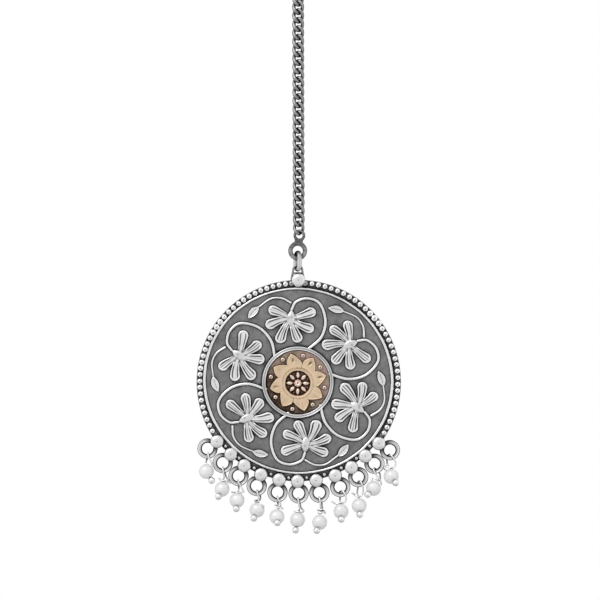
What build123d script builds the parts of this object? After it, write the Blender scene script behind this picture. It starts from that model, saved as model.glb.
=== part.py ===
from build123d import *

import os
from math import acos, cos, degrees, hypot, radians, sin, sqrt
from typing import NamedTuple

# A maang tikka, hanging from its hair hook. Millimetres; +Z up, -Y faces the viewer, +X to the
# viewer's right. The origin is the inner crown of the hook's bend, where it sits on the hair.

# Pendant disc, drawn about its own centre. Its back is at BACK_Y and its relief rises towards -Y.
DISC_Z = -115.6  # the disc's centre, below the hook's crown
PLATE_RADIUS = 19.66
BACK_Y = 0.6
FIELD_Y = -0.25
SUNK = 0.15  # how far a soldered piece runs into what carries it

# Beaded wire round the upper part of the edge
RIM_INNER, RIM_OUTER, RIM_TOP_Y = 19.35, 20.42, -0.40
RIM_HALF_ANGLE = 122.5  # from the top, to each side
BEAD_CIRCLE, BEAD_RADIUS = 19.87, 0.49
BEAD_FIRST, BEAD_PITCH, BEADS_A_SIDE = 4.4, 3.75, 32  # degrees from the top

# Raised line inside the rim, and the bezel round the medallion
LINE_CIRCLE, LINE_RADIUS, LINE_Y = 18.7, 0.33, -0.35
BEZEL_INNER, BEZEL_OUTER, BEZEL_TOP_Y = 6.43, 7.13, -0.95

# Crown: stud, hanging loop, and the tang that joins them behind
STUD_RADIUS, STUD_Y, STUD_BACK_Y = 1.33, -0.10, 0.30
CROWN_Z = 20.26
LOOP_Z, LOOP_CIRCLE, LOOP_WIRE = 22.26, 0.93, 0.38
TANG_WIDTH, TANG_THICK = 1.2, 0.5

# Lower edge: studs, the granules between them, and the drop rings
DROP_PITCH = 10.7  # degrees, centred on the bottom
STUD_CIRCLE = 20.05
GRANULE_CIRCLE, GRANULE_RADIUS = 19.3, 0.33
DROP_RING_OUTER, DROP_RING_INNER, DROP_RING_THICK = 2.03, 1.13, 0.6

# One flower of six, above the disc's centre; the others are turned about it
FLOWERS = 6
CALYX = (-1.35, 12.77)
CALYX_TIP, CALYX_FOOT, CALYX_WIDTH = (-1.12, 14.5), (-1.40, 11.35), 1.83
PETAL_ANGLES = (-112.5, -67.5, -22.5, 22.5, 67.5, 112.5)  # from straight down
PETAL_REACH, PETAL_TIP_RADIUS, PETAL_ROOT_RADIUS = 4.18, 1.0, 0.25
VINE_WIDTH, BRANCH_WIDTH = 0.75, 0.36
VINE_RISE = ((2.27, 6.85), (4.60, 8.93), (5.54, 12.60))
VINE_CURL = ((5.54, 12.60), (2.10, 16.95), (-1.16, 14.20))
BRANCH = ((-1.15, 16.02), (-4.40, 17.02), (-7.73, 15.10))
LEAF_BASE, LEAF_TIP, LEAF_WIDTH = (-7.60, 15.22), (-9.90, 12.70), 1.40
PETAL_TOP_Y, CALYX_TOP_Y = -0.70, -0.75
VINE_TOP_Y, LEAF_TOP_Y = -0.60, -0.65

# Gilt medallion, seated in the bezel
SEAT_GAP, SEAT_BACK_GAP = 0.05, 0.03  # round it and behind it
MEDALLION_FACE_Y = -0.60
LOTUS_PETALS, LOTUS_TURN = 8, -12.0  # degrees, clockwise from the top
LOTUS_TIP, LOTUS_VALLEY, LOTUS_TOP_Y = 5.85, 4.2, -1.0
WHEEL_INNER, WHEEL_OUTER, WHEEL_TOP_Y = 2.45, 3.15, -1.15
SEED_FROM, SEED_TO, SEED_WIDTH, SEED_TOP_Y = 0.95, 2.2, 0.7, -0.90
HUB_RADIUS = 0.77
GRAIN_CIRCLE, GRAIN_RADIUS, GRAIN_TURN = 5.44, 0.47, 11.4

# Jump ring: an oval of thick wire, turned a little about the vertical
JUMP_WIRE, JUMP_LENGTH, JUMP_WIDTH, JUMP_TURN = 0.96, 4.26, 3.16, -20.0
JUMP_BOTTOM_Z = 21.95

# Figure-eight link: a small ring over a large one, leaning to the right
LARGE_OUTER, LARGE_INNER, LARGE_AT = 1.89, 0.98, (0.0, 26.13)
SMALL_OUTER, SMALL_INNER, SMALL_AT = 1.18, 0.64, (0.26, 29.18)
NECK_WIDTH, LINK_THICK, LINK_EDGE = 1.66, 0.60, 0.18

# Curb chain, as one flat tube between its two end links
CHAIN_LINKS, CHAIN_PITCH = 44, 1.70
CHAIN_WIRE, CHAIN_LINK_LENGTH, CHAIN_LINK_WIDTH = 0.70, 3.12, 2.40
CHAIN_THICK = 1.50
LOW_LINK_AT, LOW_LINK_WIRE, LOW_LINK_TURN = (0.12, 30.52), 0.62, 60.0

# Hair hook
HOOK_WIRE, HOOK_BEND, HOOK_EYE, HOOK_TIP = 0.9, 2.05, 1.25, 6.5
HOOK_NECK, HOOK_JOG, HOOK_JOG_RADIUS = 1.2, 3.0, 1.5
EYE_PLAY = 0.05  # between the eye and the chain's top link

# Drops: each a pearl on a ball-headed pin, looped through its ring and wrapped above the pearl
PEARL_RADIUS, BALL_RADIUS, PIN_RADIUS, BORE_RADIUS = 1.5, 0.67, 0.17, 0.25
BALL_REACH = 2.18  # from the pearl's centre to the ball's
PIN_LOOP_CIRCLE, PIN_LOOP_PLAY = 0.93, 0.23
COLLAR_RADIUS, COLLAR_LENGTH, COLLAR_GAP = 0.36, 0.30, 0.06


class Drop(NamedTuple):
    """A drop seen from the front, left to right along the edge."""

    ring_circle: float  # the ring's centre from the disc's
    pearl_x: float  # the pearl's centre from the ring's
    pearl_z: float
    ball_x: float  # the ball's centre from the pearl's; the rest of its reach is towards the viewer
    ball_z: float
    loop_turn: float  # degrees about the vertical, from edge-on


DROP_TABLE = (
    Drop(22.61, -0.20, -4.50, 0.98, -1.72, 20),
    Drop(22.20, -0.08, -5.12, -0.62, -1.54, 8),
    Drop(22.40, -0.26, -4.74, -0.16, -1.56, 15),
    Drop(22.63, 0.10, -4.72, -0.54, -1.54, 12),
    Drop(22.63, -0.10, -4.72, 0.00, -1.14, 5),
    Drop(22.36, -0.22, -5.24, -0.38, -2.06, 6),
    Drop(22.78, 0.06, -5.78, -0.54, -1.62, 5),
    Drop(22.74, 0.14, -4.74, 0.02, -1.68, 40),
    Drop(22.66, 0.18, -5.62, 0.06, -1.76, 40),
    Drop(22.53, -0.22, -4.82, -1.10, -1.22, 40),
    Drop(23.15, 0.20, -5.12, 0.76, -1.38, 40),
)


def polar(radius, angle, y=0.0):
    """A point of the disc, at an angle clockwise from the top."""
    return Vector(radius * sin(radians(angle)), y, radius * cos(radians(angle)))


def flat(point):
    """A point of the disc in its face-on sketch plane."""
    return (point.X, point.Z)


def top_link_z():
    return LOW_LINK_AT[1] + CHAIN_PITCH * (CHAIN_LINKS - 1)


def raised(sketch, top_y, from_y=FIELD_Y + SUNK):
    """A face-on sketch, x to the right and y up, as relief that rises from from_y to top_y."""
    plane = Plane(origin=(0, from_y, 0), x_dir=(1, 0, 0), z_dir=(0, -1, 0))
    return extrude(plane * sketch, from_y - top_y)


def wire_ring(circle, wire_radius, y, z=0.0):
    return Pos(0, y, z) * Rot(X=90) * Torus(circle, wire_radius)


def dome(at, radius, back_y):
    """A ball with a flat back."""
    behind = Pos(at.X, back_y + radius, at.Z) * Box(3 * radius, 2 * radius, 3 * radius)
    return Pos(at) * Sphere(radius) - behind


def pointed_oval(start, end, width):
    """Two arcs that meet in a point at each end."""
    (sx, sy), (ex, ey) = start, end
    length = hypot(ex - sx, ey - sy)
    across = Vector(sy - ey, ex - sx) * (width / 2 / length)
    middle = Vector((sx + ex) / 2, (sy + ey) / 2)
    sides = [ThreePointArc(start, middle + across, end), ThreePointArc(end, middle - across, start)]
    return make_face(sides)


def round_wire(path, wire):
    return sweep(Plane(origin=path @ 0, z_dir=path % 0) * Circle(wire / 2), path)


def bar(start, end, radius):
    """A round bar between two points."""
    along = end - start
    return Plane(origin=(start + end) / 2, z_dir=along) * Cylinder(radius, along.length)


def beaded_rim():
    front = [(RIM_INNER, RIM_TOP_Y), (RIM_OUTER, RIM_TOP_Y)]
    back = [(RIM_OUTER, BACK_Y), (RIM_INNER, BACK_Y)]
    band = revolve(make_face(Polyline(*front, *back, close=True)), Axis.Y, 2 * RIM_HALF_ANGLE)
    beads = [
        Pos(polar(BEAD_CIRCLE, side * (BEAD_FIRST + BEAD_PITCH * n), RIM_TOP_Y)) * Sphere(BEAD_RADIUS)
        for side in (-1, 1)
        for n in range(BEADS_A_SIDE)
    ]
    return [Rot(Y=270 - RIM_HALF_ANGLE) * band] + beads


def flower():
    """Six petals round a calyx, on a curling vine with a side branch and its leaf."""
    pieces = []
    for angle in PETAL_ANGLES:
        tip = (CALYX[0] + PETAL_REACH * sin(radians(angle)), CALYX[1] - PETAL_REACH * cos(radians(angle)))
        ends = Pos(*CALYX) * Circle(PETAL_ROOT_RADIUS) + Pos(*tip) * Circle(PETAL_TIP_RADIUS)
        pieces.append(raised(make_hull(ends.edges()), PETAL_TOP_Y))
    pieces.append(raised(pointed_oval(CALYX_TIP, CALYX_FOOT, CALYX_WIDTH), CALYX_TOP_Y))
    for path, width in ((VINE_RISE, VINE_WIDTH), (VINE_CURL, VINE_WIDTH), (BRANCH, BRANCH_WIDTH)):
        pieces.append(raised(trace(ThreePointArc(*path), width), VINE_TOP_Y))
    pieces.append(raised(pointed_oval(LEAF_BASE, LEAF_TIP, LEAF_WIDTH), LEAF_TOP_Y))
    return pieces


def drops():
    """Each drop with its angle on the disc."""
    middle = (len(DROP_TABLE) - 1) / 2
    return [(drop, 180 + DROP_PITCH * (middle - n)) for n, drop in enumerate(DROP_TABLE)]


def crown():
    foot_z = LOOP_Z - LOOP_CIRCLE
    height = foot_z + LOOP_WIRE / 2 - CROWN_Z
    tang = Pos(0, 0, (CROWN_Z + foot_z) / 2) * Box(TANG_WIDTH, TANG_THICK, height)
    loop = wire_ring(LOOP_CIRCLE, LOOP_WIRE / 2, 0, LOOP_Z)
    return [dome(polar(CROWN_Z, 0, STUD_Y), STUD_RADIUS, STUD_BACK_Y), tang, loop]


def lower_edge():
    pieces = []
    half = DROP_RING_THICK / 2
    ring = Circle(DROP_RING_OUTER) - Circle(DROP_RING_INNER)
    for drop, angle in drops():
        at = flat(polar(drop.ring_circle, angle))
        pieces.append(raised(Pos(*at) * ring, -half, half))
        pieces.append(dome(polar(STUD_CIRCLE, angle, STUD_Y), STUD_RADIUS, STUD_BACK_Y))
    for _, angle in drops()[:-1]:
        pieces.append(Pos(polar(GRANULE_CIRCLE, angle - DROP_PITCH / 2, FIELD_Y)) * Sphere(GRANULE_RADIUS))
    return pieces


def pendant_disc():
    pieces = beaded_rim() + crown() + lower_edge()
    pieces.append(wire_ring(LINE_CIRCLE, LINE_RADIUS, LINE_Y))
    pieces.append(raised(Circle(BEZEL_OUTER) - Circle(BEZEL_INNER), BEZEL_TOP_Y))
    for n in range(FLOWERS):
        pieces += [Rot(Y=360 / FLOWERS * n) * piece for piece in flower()]
    return raised(Circle(PLATE_RADIUS), FIELD_Y, BACK_Y) + pieces


def gold_medallion():
    back = FIELD_Y - SEAT_BACK_GAP
    inside = back - SUNK
    pieces = [raised(Circle(WHEEL_OUTER) - Circle(WHEEL_INNER), WHEEL_TOP_Y, inside)]
    step = 360 / LOTUS_PETALS
    for n in range(LOTUS_PETALS):
        angle = LOTUS_TURN + step * n
        valleys = [polar(LOTUS_VALLEY, angle + side * step / 2) for side in (-1, 1)]
        corners = [valleys[0], polar(LOTUS_TIP, angle), valleys[1]]
        petal = make_face(Polyline((0, 0), *map(flat, corners), close=True)) - Circle(WHEEL_INNER)
        pieces.append(raised(petal, LOTUS_TOP_Y, inside))
        grain = polar(GRAIN_CIRCLE, GRAIN_TURN + step * n, MEDALLION_FACE_Y)
        pieces.append(dome(grain, GRAIN_RADIUS, inside))
        seed = pointed_oval(flat(polar(SEED_FROM, step * n)), flat(polar(SEED_TO, step * n)), SEED_WIDTH)
        pieces.append(raised(seed, SEED_TOP_Y, inside))
    pieces.append(dome(Vector(0, MEDALLION_FACE_Y, 0), HUB_RADIUS, inside))
    return raised(Circle(BEZEL_INNER - SEAT_GAP), MEDALLION_FACE_Y, back) + pieces


def oval_ring(length, width, wire, at, turn):
    """A closed upright oval of round wire, turned about the vertical from facing the viewer."""
    across = Vector(cos(radians(turn)), sin(radians(turn)), 0)
    plane = Plane(origin=(at[0], 0, at[1]), x_dir=across, z_dir=across.cross(Vector(0, 0, 1)))
    half, end = (width - wire) / 2, (length - width) / 2
    path = plane * Wire(
        [
            Line((half, -end), (half, end)),
            ThreePointArc((half, end), (0, end + half), (-half, end)),
            Line((-half, end), (-half, -end)),
            ThreePointArc((-half, -end), (0, -end - half), (half, -end)),
        ]
    )
    return round_wire(path, wire)


def jump_ring():
    centre = (0, JUMP_BOTTOM_Z + JUMP_LENGTH / 2)
    return oval_ring(JUMP_LENGTH, JUMP_WIDTH, JUMP_WIRE, centre, 90 - JUMP_TURN)


def figure_eight_link():
    neck = Vector(*SMALL_AT) - Vector(*LARGE_AT)
    lean = degrees(acos(neck.Y / neck.length))
    body = Pos(*LARGE_AT) * Circle(LARGE_OUTER) + Pos(*SMALL_AT) * Circle(SMALL_OUTER)
    body += Pos(*LARGE_AT) * Rot(Z=-lean) * Pos(0, neck.length / 2) * Rectangle(NECK_WIDTH, neck.length)
    body -= Pos(*LARGE_AT) * Circle(LARGE_INNER)
    body -= Pos(*SMALL_AT) * Circle(SMALL_INNER)
    half = LINK_THICK / 2
    solid = raised(body, -half, half)
    edges = solid.edges().filter_by_position(Axis.Y, half - 0.01, half + 0.01)
    edges += solid.edges().filter_by_position(Axis.Y, -half - 0.01, -half + 0.01)
    return chamfer(edges, LINK_EDGE)


def chain():
    to_bar = CHAIN_LINK_LENGTH / 2 - CHAIN_WIRE
    low, top = LOW_LINK_AT[1] + to_bar, top_link_z() - to_bar
    section = Plane.XY.offset(low) * SlotOverall(CHAIN_LINK_WIDTH, CHAIN_THICK)
    low_link = oval_ring(CHAIN_LINK_LENGTH, CHAIN_LINK_WIDTH, LOW_LINK_WIRE, LOW_LINK_AT, LOW_LINK_TURN)
    top_link = oval_ring(CHAIN_LINK_LENGTH, CHAIN_LINK_WIDTH, CHAIN_WIRE, (0, top_link_z()), 0)
    return extrude(section, top - low) + [low_link, top_link]


def hair_hook():
    """One bent wire: a closed eye, a jog to the front, and a bend over to a tip that points down behind."""
    link_inside_z = DISC_Z + top_link_z() + CHAIN_LINK_LENGTH / 2 - CHAIN_WIRE
    eye_z = link_inside_z - EYE_PLAY - HOOK_WIRE / 2 + HOOK_EYE
    bend_z = HOOK_WIRE / 2 - HOOK_BEND
    neck_z = eye_z + HOOK_EYE
    jog_z = neck_z + HOOK_NECK
    corners = [(0, neck_z), (0, jog_z), (-HOOK_BEND, jog_z + HOOK_JOG), (-HOOK_BEND, bend_z)]
    shank = FilletPolyline(*corners, radius=HOOK_JOG_RADIUS)
    bend = ThreePointArc((-HOOK_BEND, bend_z), (0, bend_z + HOOK_BEND), (HOOK_BEND, bend_z))
    tip = Line((HOOK_BEND, bend_z), (HOOK_BEND, bend_z - HOOK_TIP))
    path = Plane.YZ * Wire([*shank.edges(), bend, tip])
    eye = Pos(0, 0, eye_z) * Rot(Y=90) * Torus(HOOK_EYE, HOOK_WIRE / 2)
    return round_wire(path, HOOK_WIRE) + eye + Pos(path @ 1) * Sphere(HOOK_WIRE / 2)


def drop_frame(drop, angle):
    """The ring's centre, the pearl's centre and the pin's direction, from the loop down to the ball."""
    down = Vector(drop.ball_x, 0, drop.ball_z)
    down.Y = -sqrt(BALL_REACH**2 - down.length**2)
    down = down.normalized()
    ring = polar(drop.ring_circle, angle)
    wrap = COLLAR_GAP + COLLAR_LENGTH
    pearl = ring + Vector(drop.pearl_x, down.Y * (PEARL_RADIUS + wrap), drop.pearl_z)
    return ring, pearl, down


def head_pin(drop, angle):
    ring, pearl, down = drop_frame(drop, angle)
    loop_z = ring.Z - DROP_RING_INNER + PIN_LOOP_PLAY - (PIN_LOOP_CIRCLE - PIN_RADIUS)
    loop_at = Vector(ring.X, 0, loop_z)
    loop = Pos(loop_at) * Rot(Z=drop.loop_turn) * Rot(Y=90) * Torus(PIN_LOOP_CIRCLE, PIN_RADIUS)
    neck = pearl - down * (PEARL_RADIUS + COLLAR_GAP)
    collar_top = neck - down * COLLAR_LENGTH
    ball = pearl + down * BALL_REACH
    return loop + [
        bar(loop_at - Vector(0, 0, PIN_LOOP_CIRCLE), collar_top, PIN_RADIUS),
        bar(collar_top, ball, PIN_RADIUS),
        bar(neck, collar_top, COLLAR_RADIUS),
        Pos(ball) * Sphere(BALL_RADIUS),
    ]


def pearl(drop, angle):
    _, centre, down = drop_frame(drop, angle)
    bore = bar(centre - down * 2 * PEARL_RADIUS, centre + down * 2 * PEARL_RADIUS, BORE_RADIUS)
    return Pos(centre) * Sphere(PEARL_RADIUS) - bore


below = Pos(0, 0, DISC_Z)
nodes = {
    "hair_hook": hair_hook(),
    "chain": below * chain(),
    "figure_eight_link": below * figure_eight_link(),
    "jump_ring": below * jump_ring(),
    "pendant_disc": below * pendant_disc(),
    "gold_medallion": below * gold_medallion(),
}
for n, (drop, angle) in enumerate(drops(), 1):
    nodes[f"head_pin_{n:02d}"] = below * head_pin(drop, angle)
    nodes[f"pearl_{n:02d}"] = below * pearl(drop, angle)

os.makedirs("parts", exist_ok=True)
for name, shape in nodes.items():
    export_step(shape, f"parts/{name}.step")
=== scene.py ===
from math import atan2, cos, pi, radians, sin, sqrt

import bmesh
import bpy
import numpy as np
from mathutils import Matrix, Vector, noise


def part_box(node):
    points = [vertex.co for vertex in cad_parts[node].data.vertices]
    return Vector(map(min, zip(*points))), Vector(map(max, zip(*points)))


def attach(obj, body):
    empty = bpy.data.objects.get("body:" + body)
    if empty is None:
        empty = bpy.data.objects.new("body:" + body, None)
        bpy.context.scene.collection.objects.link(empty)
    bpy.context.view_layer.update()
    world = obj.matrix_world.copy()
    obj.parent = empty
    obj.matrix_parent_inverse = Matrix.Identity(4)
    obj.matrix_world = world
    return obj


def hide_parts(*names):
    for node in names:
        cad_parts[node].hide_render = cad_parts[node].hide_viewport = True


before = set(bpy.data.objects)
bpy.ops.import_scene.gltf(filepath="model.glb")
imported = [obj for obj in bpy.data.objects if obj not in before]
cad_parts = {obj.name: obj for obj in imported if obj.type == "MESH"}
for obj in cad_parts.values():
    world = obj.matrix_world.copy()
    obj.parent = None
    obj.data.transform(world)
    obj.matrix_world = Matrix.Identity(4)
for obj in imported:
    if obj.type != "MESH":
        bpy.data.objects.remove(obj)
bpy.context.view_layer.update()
rng = np.random.default_rng(26)

# The disc's plate: one flat round of silver sheet, blackened on the front and filed smooth on the
# back. Everything on the pendant is soldered to it. Points here and below are millimetres about
# the disc's centre: x to the right, y to the back, z up.
MM = 0.001
PLATE_RADIUS, PLATE_BACK, FIELD = 19.96, 0.6, -0.25
FACE_EDGE, BACK_EDGE, AXIS = 19.3, 19.2, 0.02  # where its flats begin, and where all turned faces end
medallion_low, medallion_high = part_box("gold_medallion")
DISC = (medallion_low + medallion_high) / 2
DISC.y = 0


class Value:
    """A socket of a finish. Arithmetic on it adds the nodes."""

    def __init__(self, nodes, socket):
        self.nodes, self.socket = nodes, socket

    def math(self, operation, *values):
        return self.nodes.add("ShaderNodeMath", {"operation": operation}, dict(enumerate(values)))["Value"]

    def __add__(self, other):
        return self.math("ADD", self, other)

    def __sub__(self, other):
        return self.math("SUBTRACT", self, other)

    def __rsub__(self, other):
        return self.math("SUBTRACT", other, self)

    def __mul__(self, other):
        return self.math("MULTIPLY", self, other)

    def __truediv__(self, other):
        return self.math("DIVIDE", self, other)

    def __abs__(self):
        return self.math("ABSOLUTE", self)

    __radd__, __rmul__ = __add__, __mul__

    def step(self, low, high):
        """0 below low, 1 above high, and smooth between."""
        settings = {"interpolation_type": "SMOOTHSTEP"}
        sockets = {"Value": self, "From Min": low, "From Max": high}
        return self.nodes.add("ShaderNodeMapRange", settings, sockets)["Result"]

    def between(self, low, high):
        """The colour that lies this far from low to high: the Mix node's sixth and seventh sockets."""
        return self.nodes.add("ShaderNodeMix", {"data_type": "RGBA"}, {0: self, 6: low, 7: high})[2]


class Outputs:
    """A node's outputs, each taken by its name or number as a Value."""

    def __init__(self, nodes, node):
        self.nodes, self.node = nodes, node

    def __getitem__(self, key):
        return Value(self.nodes, self.node.outputs[key])


class Nodes:
    """A node tree that is filled one node at a time."""

    def __init__(self, tree):
        self.tree = tree
        tree.nodes.clear()

    def add(self, kind, settings=None, sockets=None):
        node = self.tree.nodes.new(kind)
        for key, setting in (settings or {}).items():
            setattr(node, key, setting)
        for key, value in (sockets or {}).items():
            if isinstance(value, Value):
                self.tree.links.new(value.socket, node.inputs[key])
            else:
                node.inputs[key].default_value = value
        return Outputs(self, node)

    def place(self):
        """Where on the piece this is, in metres."""
        return self.add("ShaderNodeTexCoord")["Object"]

    def dot(self, way, axis):
        """How much of one direction lies along the other."""
        return self.add("ShaderNodeVectorMath", {"operation": "DOT_PRODUCT"}, {0: way, 1: axis})["Value"]

    def grain(self, size, detail=3.0):
        """Noise whose marks are about size millimetres."""
        sockets = {"Vector": self.place(), "Scale": 1 / (size * MM), "Detail": detail}
        return self.add("ShaderNodeTexNoise", None, sockets)["Fac"]

    def crevice(self, reach):
        """1 in the open, falling to 0 in a corner narrower than reach millimetres."""
        return self.add("ShaderNodeAmbientOcclusion", {"samples": 8}, {"Distance": reach * MM})["AO"]

    def frontal(self):
        """1 where the piece's surface faces the front or the back, and 0 on its walls."""
        return abs(self.dot(self.add("ShaderNodeTexCoord")["Normal"], (0, 1, 0)))

    def worked(self):
        """The black and bright that a piece's mesh carries, from 0 to 1. On some pieces it holds painted
        shade and painted reflections.
        """
        return self.add("ShaderNodeAttribute", {"attribute_name": "worked"})["Fac"]

    def surface(self, shader):
        """The end of a material's nodes."""
        self.add("ShaderNodeOutputMaterial", None, {"Surface": shader})

    def metal(self, colour, roughness, cloud, fine, edge):
        """A metal's surface, faintly dented. edge is its shine where it is seen from the side."""
        heights = {"Strength": 0.5, "Distance": 0.02 * MM, "Height": cloud * 2 + fine}
        sockets = {"Base Color": colour, "Metallic": 1.0, "Roughness": roughness + (fine - 0.5) * 0.12}
        sockets |= {"Normal": self.add("ShaderNodeBump", None, heights)["Normal"], "Specular Tint": edge}
        self.surface(self.add("ShaderNodeBsdfPrincipled", None, sockets)["BSDF"])


def finish(name):
    """A new material, and its nodes to fill."""
    material = bpy.data.materials.new(name)
    material.use_nodes = True
    return material, Nodes(material.node_tree)


def silver(
    name, bright, black, roughness, reach, low, high,
    worked=False, walls=None, mottle=0.10, edge=0.3, wear=0.22,
):
    """Silver that is black in its corners and rubbed bright where it stands open. The black in its
    corners is partly its patina and partly painted shade.

    reach is how far from a corner the black goes, and low and high how open the black and the bright
    are. A worked piece carries its own black and bright too, which on some pieces holds painted shade
    and painted reflections. One with walls stays black where its surface turns sideways, partly left
    unrubbed there and partly as a painted reflection of the dark outline that polished metal shows at
    its edges."""
    material, n = finish(name)
    cloud, speck, fine = n.grain(3.1, 4.0), n.grain(0.9), n.grain(0.32)
    # the black from the crevice is partly patina and partly painted shade
    rubbed_and_shaded = (n.crevice(reach) + (cloud - 0.5) * wear + (fine - 0.5) * (wear / 2)).step(low, high)
    if worked:
        rubbed_and_shaded = rubbed_and_shaded * n.worked()
    # the black on the walls is partly left unrubbed and partly a painted reflection of the dark outline at
    # the edges
    if walls:
        rubbed_and_shaded = rubbed_and_shaded * n.frontal().step(*walls)
    tint = 1 + (cloud - 0.5) * (mottle * 2) + (fine - 0.5) * mottle + (speck - 0.5) * (mottle * 1.5)
    sockets = {0: rubbed_and_shaded.between((*black, 1), (*bright, 1)), "Scale": tint}
    shade = n.add("ShaderNodeVectorMath", {"operation": "SCALE"}, sockets)["Vector"]
    n.metal(shade, roughness + (1 - rubbed_and_shaded) * 0.22, cloud, fine, (edge, edge, edge, 1))
    return material


def placed(name, data):
    """A new object in the scene."""
    obj = bpy.data.objects.new(name, data)
    bpy.context.scene.collection.objects.link(obj)
    return obj


class Metal:
    """Patches of surface that are joined into one piece."""

    def __init__(self):
        self.points, self.faces, self.worked, self.count = [], [], [], 0

    def patch(self, rows, worked=1.0, around=True, ring=False, caps=False):
        """A grid of points, each worked bright or left black. On some pieces the black is painted shade and
        painted reflection.

        around joins its last column to its first, ring its last row to its first, and caps close its ends."""
        rows = np.asarray(rows, float)
        high, wide = rows.shape[:2]
        index = np.arange(high * wide).reshape(high, wide) + self.count
        if ring:
            index = np.vstack([index, index[:1]])
        if around:
            index = np.hstack([index, index[:, :1]])
        a, b, c, d = index[:-1, :-1], index[:-1, 1:], index[1:, 1:], index[1:, :-1]
        self.faces += np.stack([a, b, c, d], -1).reshape(-1, 4).tolist()
        if caps:
            self.faces += [index[0, :wide][::-1].tolist(), index[-1, :wide].tolist()]
        self.points.append(rows.reshape(-1, 3))
        self.worked.append(np.broadcast_to(worked, (high, wide)).reshape(-1))
        self.count += high * wide

    def piece(self, name, material, replaces=(), body="pendant", slot="oxidised_silver", sharp=42):
        """The finished piece. It rides on body, and stands for the frame's nodes that replaces names."""
        mesh = bpy.data.meshes.new(name)
        mesh.from_pydata((np.vstack(self.points) * MM + np.array(DISC)).tolist(), [], self.faces)
        attribute = mesh.attributes.new("worked", "FLOAT", "POINT")
        attribute.data.foreach_set("value", np.concatenate(self.worked).astype(np.float32))
        work = bmesh.new()
        work.from_mesh(mesh)
        bmesh.ops.remove_doubles(work, verts=work.verts, dist=1e-7)
        bmesh.ops.dissolve_degenerate(work, edges=work.edges, dist=1e-7)
        bmesh.ops.recalc_face_normals(work, faces=work.faces)
        work.to_mesh(mesh)
        work.free()
        mesh.shade_smooth()
        mesh.set_sharp_from_angle(angle=radians(sharp))
        mesh.materials.append(material)
        obj = placed(name, mesh)
        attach(obj, body)
        if replaces:
            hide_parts(*replaces)


def turned(profile, sides, start=0.0, end=360.0, wobble=0.0):
    """Rows of points for (radius, y) turned about the disc's axis, clockwise from the top.

    wobble is how far the round strays from true."""
    angles = np.radians(np.linspace(start, end, sides, endpoint=end - start < 360))
    profile = np.array(profile, float)
    r = profile[:, :1] + wobble * np.sin(angles * 7 + 1) * np.sin(angles * 3)
    y = np.broadcast_to(profile[:, 1:], r.shape)
    return np.stack([r * np.sin(angles), y, r * np.cos(angles)], -1)


def rounded(low, high, base, top, steps=10):
    """A half-round profile from radius low to high that rises from base to top."""
    a = np.linspace(0, pi, steps)
    middle, half = (low + high) / 2, (high - low) / 2
    return np.stack([middle - half * np.cos(a), base + (top - base) * np.sin(a)], -1)


plate = Metal()
edge = [(PLATE_RADIUS - 0.25, PLATE_BACK), (PLATE_RADIUS, PLATE_BACK - 0.2), (PLATE_RADIUS, FIELD + 0.12)]
face = [(PLATE_RADIUS - 0.1, FIELD)] + [(r, FIELD) for r in np.linspace(FACE_EDGE, AXIS, 24)]
back = [(r, PLATE_BACK) for r in np.linspace(AXIS, BACK_EDGE, 12)]
profile = back + edge + face
unrubbed = np.clip((19.0 - np.array(profile)[:, :1]) / 0.5, 0.45, 1)  # the edge is never rubbed
plate.patch(turned(profile, 256), unrubbed)
blackened = silver(
    "blackened silver", (0.228, 0.228, 0.231), (0.02, 0.02, 0.021),
    roughness=0.46, reach=0.8, low=0.60, high=0.90, worked=True, mottle=0.45,
)
plate.piece("plate", blackened, ["pendant_disc"])


# The edge line: a round silver wire soldered down inside the rim, so only its front half stands up.
# It was bent by hand: it is a little out of round, lies high of the middle and is thinner above and
# below. Its top is rubbed bright and its two corners with the plate stay black.
LINE_CIRCLE, LINE_WIRE, LINE_TOP = 18.58, 0.66, -0.62
LINE_UP, LINE_RIGHT = 0.17, 0.12  # from the disc's centre to the wire's own
LINE_WIDER, LINE_ASLANT = 0.175, 0.10  # how far it bulges sideways, and to the upper left and lower right
LINE_THINNER, LINE_UNEVEN = 0.16, 0.02
SUNK = 0.08  # how far a soldered piece runs into the plate
edge_line = Metal()
section = rounded(-LINE_WIRE / 2, LINE_WIRE / 2, FIELD + SUNK, LINE_TOP)
a = np.radians(np.linspace(0, 360, 256, endpoint=False))
bent = LINE_CIRCLE + LINE_UP * np.cos(a) + LINE_RIGHT * np.sin(a)
bent = bent - LINE_WIDER * np.cos(2 * a) - LINE_ASLANT * np.sin(2 * a)
thick = section[:, :1] * (1 - LINE_THINNER * np.cos(2 * a))
r = bent + LINE_UNEVEN * np.sin(a * 23) * np.sin(a * 7) + thick
edge_line.patch(np.stack([r * np.sin(a), section[:, 1:] + 0 * r, r * np.cos(a)], -1), ring=True)
bright_wire = silver(
    "rubbed silver wire", (0.88, 0.88, 0.89), (0.03, 0.03, 0.032),
    roughness=0.26, reach=0.45, low=0.20, high=0.50, walls=(0.30, 0.70),
)
edge_line.piece("edge_line", bright_wire)


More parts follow.
